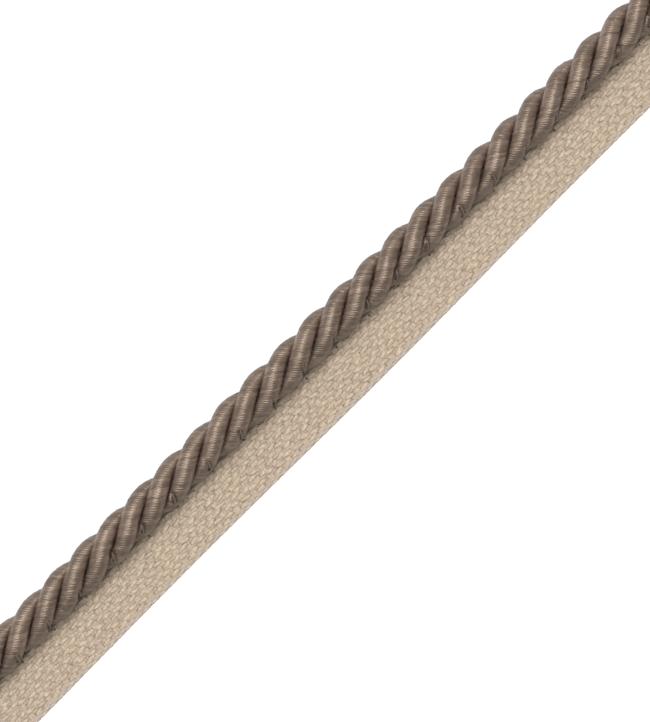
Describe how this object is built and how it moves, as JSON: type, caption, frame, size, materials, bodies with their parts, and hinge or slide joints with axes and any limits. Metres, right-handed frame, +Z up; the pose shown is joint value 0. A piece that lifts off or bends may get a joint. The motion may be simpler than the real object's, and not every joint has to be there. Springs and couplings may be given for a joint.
{
  "type": "cord trim with tape",
  "caption": "Cut length of twisted cord trim sewn down on a flat woven tape, whose free edge is the lip sewn into a seam.",
  "frame": {"origin": "on the surface that it lies on, under the middle of its outline", "axes": "+X along the trim, +Y across it from the tape's free edge to the cord, +Z up"},
  "size_m": [0.24, 0.0218, 0.0112],
  "materials": {
    "tape": "matte woven cotton",
    "cord": "lustrous wrapped thread"
  },
  "bodies": {
    "root": {"tape": "tape", "ply_a": "cord", "ply_b": "cord", "ply_c": "cord"}
  },
  "joints": []
}
